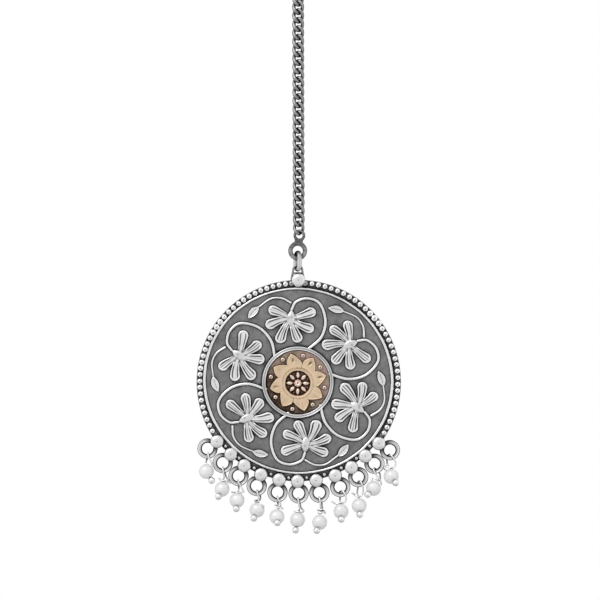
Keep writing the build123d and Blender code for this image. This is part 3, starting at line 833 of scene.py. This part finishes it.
# The drops: a pearl on a ball-headed silver pin. The pin's wire goes up out of the pearl, through its
# ring and down again, and is wound about its own neck by hand, each one differently, with its cut
# end left standing out. The far side of each winding is painted dark as painted shade.
PIN_RADIUS, BALL_RADIUS, BALL_REACH, PEARL_RADIUS, UNEVEN = 0.17, 0.67, 2.18, 1.5, 0.035
PINS = (  # ball's x and z; x, z and y along the wire to its cut end. x and z are from the pearl's centre
    (1.08, -1.76, (
        (-0.12, 1.35, -0.4), (-0.12, 1.7, -0.05), (0, 2.15, 0.25), (0.12, 2.6, 0.5), (0.22, 3.1, 0.54),
        (0.3, 3.5, 0.35), (0.33, 3.64, 0), (0.33, 3.45, -0.42), (0.36, 3.1, -0.55), (0.55, 2.6, -0.55),
        (0.85, 2, -0.5), (1.1, 1.5, -0.45), (1.32, 1.05, -0.45),
    )),
    (-0.70, -1.34, (
        (0, 1.3, -0.7), (0.12, 1.75, -0.3), (0.3, 2.1, -0.3), (0.36, 2.5, -0.4), (0.25, 3, -0.53),
        (0.15, 3.6, -0.55), (0.1, 4.1, -0.38), (0.1, 4.24, 0), (0.2, 4, 0.42), (0.36, 3.4, 0.55),
        (0.55, 2.9, 0.5), (0.78, 2.3, 0.3), (1.1, 1.75, 0), (1.6, 1.28, -0.2), (1.45, 1.22, -0.5),
        (0.9, 1.5, -0.8), (0.3, 1.6, -0.85), (-0.25, 1.75, -0.7), (-0.65, 2.08, -0.6),
    )),
    (-0.12, -1.54, (
        (0.05, 1.3, -0.7), (0.22, 1.8, -0.25), (0.3, 2.4, 0.2), (0.25, 2.9, 0.52), (0.2, 3.4, 0.54),
        (0.15, 3.76, 0.3), (0.15, 3.88, 0), (0.2, 3.6, -0.46), (0.4, 3.25, -0.56), (0.7, 2.8, -0.55),
        (0.95, 2.3, -0.5), (1.2, 1.85, -0.5), (1.28, 1.55, -0.6), (0.6, 1.5, -0.95), (0, 1.55, -1.05),
        (-0.5, 1.5, -0.8), (-1.05, 1.52, -0.5),
    )),
    (-0.62, -1.46, (
        (0.15, 1.3, -0.7), (0.25, 1.7, -0.35), (0.3, 2.1, -0.35), (0.22, 2.6, -0.5), (0.1, 3.1, -0.56),
        (-0.02, 3.6, -0.46), (-0.06, 3.84, 0), (0.05, 3.7, 0.4), (0.25, 3.3, 0.55), (0.5, 2.9, 0.5),
        (0.65, 2.45, 0.3), (0.6, 2, 0.1), (0.35, 1.8, 0.2), (-0.1, 1.8, 0.15), (-0.45, 1.75, -0.1),
        (-0.35, 1.6, -0.7), (0.15, 1.55, -1.25), (0.75, 1.22, -1.9), (1.35, 0.8, -1.8),
    )),
    (0.12, -1.0, (
        (0.25, 1.3, -0.9), (0.3, 1.7, -0.45), (0.2, 2.2, 0), (0.18, 2.75, 0.5), (0.15, 3.3, 0.54),
        (0.12, 3.74, 0.3), (0.13, 3.86, 0), (0.16, 3.6, -0.46), (0.35, 3.2, -0.56), (0.6, 2.75, -0.5),
        (0.75, 2.35, -0.45), (0.7, 1.95, -0.4), (0.45, 1.7, -0.1), (0.05, 1.85, 0.1), (-0.3, 2.1, -0.2),
        (-0.2, 1.95, -0.6), (0.3, 1.72, -0.8), (0.75, 1.75, -0.8), (1.2, 1.5, -0.75),
    )),
    (-0.38, -1.96, (
        (0.1, 1.3, 0), (0.3, 1.8, -0.1), (0.42, 2.3, -0.3), (0.3, 2.9, -0.52), (0.18, 3.6, -0.56),
        (0.12, 4.2, -0.4), (0.12, 4.36, 0), (0.2, 4.1, 0.42), (0.35, 3.6, 0.55), (0.5, 3.1, 0.5),
        (0.65, 2.5, 0.3), (0.9, 2.1, 0.2), (1.2, 1.8, 0), (1.1, 1.5, -0.3), (0.5, 1.55, -0.65),
        (-0.1, 1.64, -0.6), (-0.6, 1.7, -0.35),
    )),
    (-0.60, -1.50, (
        (0.1, 1.3, -0.6), (0.2, 1.8, -0.2), (0.2, 2.4, -0.1), (0.18, 3, -0.3), (0.12, 3.6, -0.54),
        (0.05, 4.3, -0.56), (-0.06, 4.75, -0.38), (-0.08, 4.9, 0), (0.1, 4.6, 0.42), (0.3, 4.1, 0.55),
        (0.45, 3.6, 0.4), (0.5, 3, 0.2), (0.6, 2.7, -0.1), (0.35, 2.5, -0.45), (-0.15, 2.35, -0.3),
        (-0.35, 2.25, 0.1), (0.1, 2.2, 0.4), (0.7, 2.2, 0.25), (0.95, 2, -0.15), (0.5, 1.85, -0.5),
        (-0.1, 1.75, -0.45), (-0.2, 1.7, 0), (0.4, 1.75, 0.3), (1, 1.95, 0.05), (1.12, 1.68, -0.3),
    )),
    (0.02, -1.42, (
        (-0.05, 1.35, -0.6), (-0.12, 1.7, -0.2), (-0.2, 2.1, 0.1), (-0.15, 2.6, 0.5), (-0.25, 3.2, 0.56),
        (-0.25, 3.65, 0.42), (0, 3.92, 0.12), (0.35, 3.95, -0.25), (0.65, 3.6, -0.52), (0.9, 3.1, -0.6),
        (1.02, 2.6, -0.55), (0.98, 2.1, -0.45), (0.7, 1.7, -0.4), (0.2, 1.64, -0.6), (-0.3, 1.6, -0.6),
        (-0.8, 1.42, -0.55), (-1.25, 1.52, -0.5), (-1.8, 1.85, -0.5),
    )),
    (0.08, -1.62, (
        (-0.05, 1.35, -0.6), (-0.15, 1.75, -0.2), (-0.35, 2.4, 0.2), (-0.3, 3, 0.45), (-0.2, 3.5, 0.54),
        (-0.25, 4.1, 0.56), (-0.2, 4.55, 0.42), (0, 4.8, 0.1), (0.3, 4.72, -0.3), (0.5, 4.35, -0.54),
        (0.7, 3.8, -0.6), (0.8, 3.2, -0.55), (0.78, 2.6, -0.45), (0.65, 2.1, -0.35), (0.3, 1.78, -0.4),
        (-0.2, 1.8, -0.6), (-0.75, 1.85, -0.45), (-0.9, 2.15, -0.1), (-1.4, 2.4, -0.3),
    )),
    (-1.22, -1.10, (
        (-0.25, 1.3, -0.6), (-0.36, 1.72, -0.25), (-0.08, 1.98, -0.25), (0.45, 1.85, -0.5), (1, 1.5, -0.6),
        (1.35, 1.55, -0.2), (1.42, 2, 0.2), (1.36, 2.6, 0.45), (1.15, 3.1, 0.55), (0.8, 3.5, 0.56),
        (0.35, 3.84, 0.36), (0.12, 3.94, 0), (0.02, 3.72, -0.42), (0.12, 3.4, -0.56), (0.4, 2.85, -0.56),
        (0.85, 2.25, -0.55), (1.3, 1.65, -0.7), (1.5, 1.2, -0.8), (1.62, 0.75, -0.9),
    )),
    (0.82, -1.16, (
        (-0.2, 1.3, -0.7), (-0.45, 1.75, -0.2), (-0.7, 2.3, 0.1), (-0.76, 2.9, 0.45), (-0.75, 3.5, 0.56),
        (-0.65, 4, 0.42), (-0.35, 4.22, 0.1), (-0.05, 4.2, -0.32), (0.35, 3.8, -0.56), (0.75, 3.2, -0.6),
        (0.97, 2.6, -0.5), (0.85, 2, -0.45), (0.45, 1.68, -0.5), (-0.1, 1.62, -0.6), (-0.6, 1.82, -0.3),
        (-0.95, 1.95, -0.15), (-1.28, 1.7, -0.3), (-1.32, 1.35, -0.6), (-1, 1.2, -1),
    )),
)
pin_silver = silver(
    "pin wire silver", (0.88, 0.88, 0.89), (0.03, 0.03, 0.032),
    roughness=0.22, reach=0.5, low=0.3, high=0.75, worked=True, walls=(-0.4, 0.4), edge=0.5,
)
pearl_finish, n = finish("pearl")
cloud, fine = n.grain(1.1, 2.0), n.grain(0.12, 2.0)
nacre = cloud.step(0.35, 0.65).between((0.84, 0.84, 0.84, 1), (0.90, 0.90, 0.90, 1))
skin = n.add("ShaderNodeBump", None, {"Strength": 0.35, "Distance": 0.01 * MM, "Height": cloud * 2 + fine})
sockets = {"Base Color": nacre, "Roughness": 0.26 + fine * 0.12, "Normal": skin["Normal"], "IOR": 1.65}
sockets |= {"Coat Weight": 0.8, "Coat Roughness": 0.10, "Coat IOR": 1.7}
n.surface(n.add("ShaderNodeBsdfPrincipled", None, sockets)["BSDF"])

for count, ((ball_x, ball_z, wound), (*_, x, z)) in enumerate(zip(PINS, DROPS), 1):
    low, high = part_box(f"pearl_{count:02d}")
    centre = np.array((low + high) / 2 - DISC) / MM + (x, 0, z)
    pin = Metal()
    to_ball = np.array([ball_x, -sqrt(BALL_REACH**2 - ball_x**2 - ball_z**2), ball_z])
    pin.patch(ball(centre + to_ball, BALL_RADIUS, 24, 14))
    shaft = [centre + to_ball * 0.8, centre + to_ball * 0.5]
    path = smooth(np.vstack([shaft, np.array(wound)[:, [0, 2, 1]] + centre * (1, 0, 1)]), 6)
    path, radius = rounded_off(path, np.full(len(path), PIN_RADIUS))
    # painted shade: the wire darkens towards the back
    shine = np.clip(0.6 - path[:, 1:2] * 1.2, 0.38, 1)
    pin.patch(wire(path, radius), caps=True, worked=shine)
    pin.piece(f"pin_{count:02d}", pin_silver, [f"head_pin_{count:02d}"], slot="bright_silver")

    pearl = Metal()
    rows = ball((0, 0, 0), 1.0, 40, 24)
    apart = Vector((count * 7.3, 0, 0))  # so that no two pearls are alike
    uneven = np.array([noise.noise(Vector(p) * 0.9 + apart) for p in rows.reshape(-1, 3)])
    rows = rows * (PEARL_RADIUS * (1 + UNEVEN * uneven.reshape(rows.shape[:2])))[..., None]
    pearl.patch(rows + centre)
    pearl.piece(f"pearl_bead_{count:02d}", pearl_finish, [f"pearl_{count:02d}"], slot="pearl")


# The jump ring: an oval of thick polished wire that joins the pendant's loop to the link above.
# Its two cut ends meet in a fine line. Its upper end, inside the link's hole, is painted dark as painted
# shade.
JUMP_WIRE, JUMP_LENGTH, JUMP_WIDTH, JUMP_TURN, JUMP_BOTTOM = 0.93, 4.23, 3.13, -20.0, 21.965


def oval(length, width, thick, count=48, shoulders=3):
    """(x, z) along the middle of an oval ring's wire, from its right side up and over."""
    half, straight = (width - thick) / 2, (length - width) / 2
    a = np.linspace(0, 2 * pi, count, endpoint=False)
    lift = straight * np.tanh(np.sin(a) * shoulders) / np.tanh(shoulders)
    return np.stack([half * np.cos(a), half * np.sin(a) + lift], -1)


jump = Metal()
ring = oval(JUMP_LENGTH, JUMP_WIDTH, JUMP_WIRE, shoulders=8)
turn = radians(90 - JUMP_TURN)
height = ring[:, 1] + JUMP_BOTTOM + JUMP_LENGTH / 2
path = np.stack([ring[:, 0] * cos(turn), ring[:, 0] * sin(turn), height], -1)
low_down = (JUMP_BOTTOM + JUMP_LENGTH - path[:, 2:]) / JUMP_LENGTH
# painted shade: the ring darkens towards its top, inside the link's hole
jump_shade_and_seam = np.clip(low_down * 3.2 - 0.35, 0.12, 0.9)
jump_shade_and_seam[6] = 0.15  # the line where the cut ends meet
jump.patch(wire(path, JUMP_WIRE / 2, 20, closed=True), ring=True, worked=jump_shade_and_seam)
jump_silver = silver(
    "jump ring silver", (0.76, 0.76, 0.77), (0.02, 0.02, 0.021),
    roughness=0.26, reach=1.2, low=0.35, high=0.85, worked=True, walls=(0.0, 0.6),
)
jump.piece("oval_jump_ring", jump_silver, ["jump_ring"], body="jump_ring", slot="bright_silver")


# The figure-eight link: a small ring cast in one with a larger one below it, with a thick neck. It
# is dark all over, and its edges are rounded from the mould.
LARGE_OUTER, LARGE_INNER, LARGE_AT = 1.89, 1.01, (0.0, 26.13)
SMALL_OUTER, SMALL_INNER, SMALL_AT = 1.18, 0.64, (0.34, 29.24)
LINK_THICK, LINK_ROUND, NECK_HALF = 0.60, 0.29, 0.80


def contour():
    """The link's outer edge: both rings' circles, run together at the neck."""
    large, small = np.array(LARGE_AT), np.array(SMALL_AT)
    gap = np.linalg.norm(small - large)
    along = (small - large) / gap
    across = np.array([along[1], -along[0]])
    s = lengthwise(61) * (gap + LARGE_OUTER + SMALL_OUTER) - LARGE_OUTER
    low = np.sqrt(np.clip(LARGE_OUTER**2 - s**2, 0, None))
    high = np.sqrt(np.clip(SMALL_OUTER**2 - (s - gap) ** 2, 0, None))
    waist = np.where((s > 0) & (s < gap), NECK_HALF, 0)
    width = np.minimum((low**6 + high**6 + waist**6) ** (1 / 6), LARGE_OUTER)
    middle, out = large + along * s[:, None], across * width[:, None]
    return np.vstack([middle + out, (middle - out)[::-1][1:-1]])


def circle(at, radius, count=48):
    """A hole's edge."""
    a = np.linspace(0, 2 * pi, count, endpoint=False)
    return np.array(at) + radius * np.stack([np.cos(a), np.sin(a)], -1)


curve = bpy.data.curves.new("eight", "CURVE")
curve.dimensions = "2D"
curve.fill_mode = "BOTH"
curve.extrude = (LINK_THICK / 2 - LINK_ROUND) * MM
curve.bevel_depth = LINK_ROUND * MM
curve.bevel_resolution = 4
curve.offset = -LINK_ROUND * MM
for points in (contour(), circle(LARGE_AT, LARGE_INNER), circle(SMALL_AT, SMALL_INNER)):
    spline = curve.splines.new("POLY")
    spline.points.add(len(points) - 1)
    for point, (x, z) in zip(spline.points, points):
        point.co = (x * MM, z * MM, 0, 1)
    spline.use_cyclic_u = True
cast = placed("eight", curve)
mesh = bpy.data.meshes.new_from_object(cast.evaluated_get(bpy.context.evaluated_depsgraph_get()))
bpy.data.objects.remove(cast)
shape = np.array([v.co for v in mesh.vertices]) / MM
eight = Metal()
eight.points = [np.stack([shape[:, 0], -shape[:, 2], shape[:, 1]], -1)]
eight.faces = [list(p.vertices) for p in mesh.polygons]
eight.worked = [np.ones(len(shape))]
dark_cast = silver(
    "dark cast silver", (0.40, 0.40, 0.405), (0.06, 0.06, 0.061),
    roughness=0.36, reach=0.9, low=0.45, high=1.4, walls=(0.50, 1.0), mottle=0.6, wear=1.5,
)
eight.piece("eight_link", dark_cast, ["figure_eight_link"], body="chain_and_hook", slot="dark_silver")


# The chain: curb links of round wire, each twisted a quarter turn from end to end so that the
# chain lies flat. Near the top it turns as it hangs, until the last link is square to the hook.
LINKS, PITCH, CHAIN_WIRE, LINK_LENGTH, LINK_WIDTH = 44, 1.6954, 0.70, 3.12, 2.40
LOW_X, LOW_Z, LOW_WIRE = 0.22, 30.72, 0.62  # the lowest link is of thinner wire
TWIST, LOW_TWIST, TURNED_LINKS = -45.0, -62.0, 20
links = Metal()
ring = oval(LINK_LENGTH, LINK_WIDTH, CHAIN_WIRE, 40)
half_length = (LINK_LENGTH - CHAIN_WIRE) / 2
for count in range(LINKS):
    reach = ring[:, 1] / half_length
    twist = np.where(reach < 0, TWIST if count else LOW_TWIST, TWIST) * reach
    twist = twist - TWIST * max(0, count - (LINKS - 1 - TURNED_LINKS)) / TURNED_LINKS
    twist = np.radians(twist + rng.uniform(-1.5, 1.5) * (0 < count < LINKS - 1))
    x, z = ring[:, 0], ring[:, 1] + LOW_Z + PITCH * count
    middle = LOW_X * (1 - count / (LINKS - 1))
    path = np.stack([middle + x * np.cos(twist), x * np.sin(twist), z], -1)
    thick = CHAIN_WIRE if count else LOW_WIRE
    links.patch(wire(path, thick / 2, closed=True), ring=True)
chain_silver = silver(
    "dark chain silver", (0.33, 0.33, 0.335), (0.02, 0.02, 0.021),
    roughness=0.30, reach=0.8, low=0.35, high=0.95, walls=(0.1, 0.95), mottle=0.3, wear=0.5,
)
links.piece("curb_chain", chain_silver, ["chain"], body="chain_and_hook", slot="dark_silver")


# The hair hook: one polished wire, bent to a crook that catches in the hair, and below it to a closed
# eye that holds the last link. It keeps the frame's own shape.
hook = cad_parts["hair_hook"]
hook.data.shade_smooth()
hook.data.set_sharp_from_angle(angle=radians(35))
hook_silver = silver(
    "hook silver", (0.74, 0.74, 0.75), (0.03, 0.03, 0.031),
    roughness=0.26, reach=1.0, low=0.30, high=0.8,
)
hook.data.materials.clear()
hook.data.materials.append(hook_silver)


# The room: a pale floor under the pendant and a round white tent for light, darker before and behind
# the jewel and below it, with one large soft lamp above and to the left.
FLOOR_Z, FLOOR_RADIUS = -0.175, 0.15
floor_mesh = bpy.data.meshes.new("floor")
work = bmesh.new()
bmesh.ops.create_circle(work, cap_ends=True, radius=FLOOR_RADIUS, segments=96)
work.to_mesh(floor_mesh)
work.free()
floor = placed("floor", floor_mesh)
floor.location.z = FLOOR_Z
paper, n = finish("floor paper")
from_middle = n.add("ShaderNodeVectorMath", {"operation": "LENGTH"}, {0: n.place()})["Value"] / FLOOR_RADIUS
fibres = n.grain(2.0).between((0.86, 0.86, 0.86, 1), (0.90, 0.90, 0.90, 1))
pale = n.add("ShaderNodeBsdfDiffuse", None, {"Color": fibres})["BSDF"]
clear = n.add("ShaderNodeBsdfTransparent")["BSDF"]
soft_edge = {0: from_middle.step(0.25, 0.72), 1: pale, 2: clear}
n.surface(n.add("ShaderNodeMixShader", None, soft_edge)["Shader"])
floor.data.materials.append(paper)

world = bpy.data.worlds.new("tent")
bpy.context.scene.world = world
world.use_nodes = True
n = Nodes(world.node_tree)
way = n.add("ShaderNodeTexCoord")["Generated"]
ahead, above = n.dot(way, (0, 1, 0)), n.dot(way, (0, 0, 1))
opening = (ahead * -1).step(0.30, 0.88) * 0.17
gap_behind = ahead.step(0.60, 0.98) * 0.35
low_side = (above * -1).step(0.1, 1.0) * 0.12
rays = n.add("ShaderNodeLightPath")
seen = rays["Is Camera Ray"].math("MAXIMUM", rays["Is Camera Ray"], rays["Is Transmission Ray"])
seen = seen.math("MAXIMUM", seen, rays["Is Glossy Ray"])
mirrored = 1 - (opening + gap_behind + low_side) * rays["Is Glossy Ray"]
lit, white = (
    n.add("ShaderNodeBackground", None, {"Color": (1, 1, 1, 1), "Strength": strength})["Background"]
    for strength in (0.80 - ahead.step(-0.3, 0.5) * 0.70, mirrored)
)
both = n.add("ShaderNodeMixShader", None, {0: seen, 1: lit, 2: white})
n.add("ShaderNodeOutputWorld", None, {"Surface": both["Shader"]})

FRAME_WIDTH, LENS, AIM_RIGHT, AIM_UP = 0.120, 120.0, 0.00046, 0.0163  # aimed beside and above the disc
look_at = Vector((AIM_RIGHT, 0, DISC.z + AIM_UP))
lamp_data = bpy.data.lights.new("soft lamp", "AREA")
lamp_data.shape, lamp_data.size, lamp_data.energy = "DISK", 0.6, 1.9
lamp = placed("soft lamp", lamp_data)
lamp.location = look_at + Vector((-0.35, -0.45, 0.55))
lamp.rotation_euler = (look_at - lamp.location).to_track_quat("-Z", "Y").to_euler()

camera_data = bpy.data.cameras.new("camera")
camera_data.lens = LENS
camera = placed("camera", camera_data)
distance = FRAME_WIDTH / 2 / (camera_data.sensor_width / 2 / LENS)
camera.location = look_at + Vector((0, -distance, 0))
camera.rotation_euler = (pi / 2, 0, 0)
camera_data.clip_start = 0.01
bpy.context.scene.camera = camera
bpy.context.scene.view_settings.view_transform = "Standard"
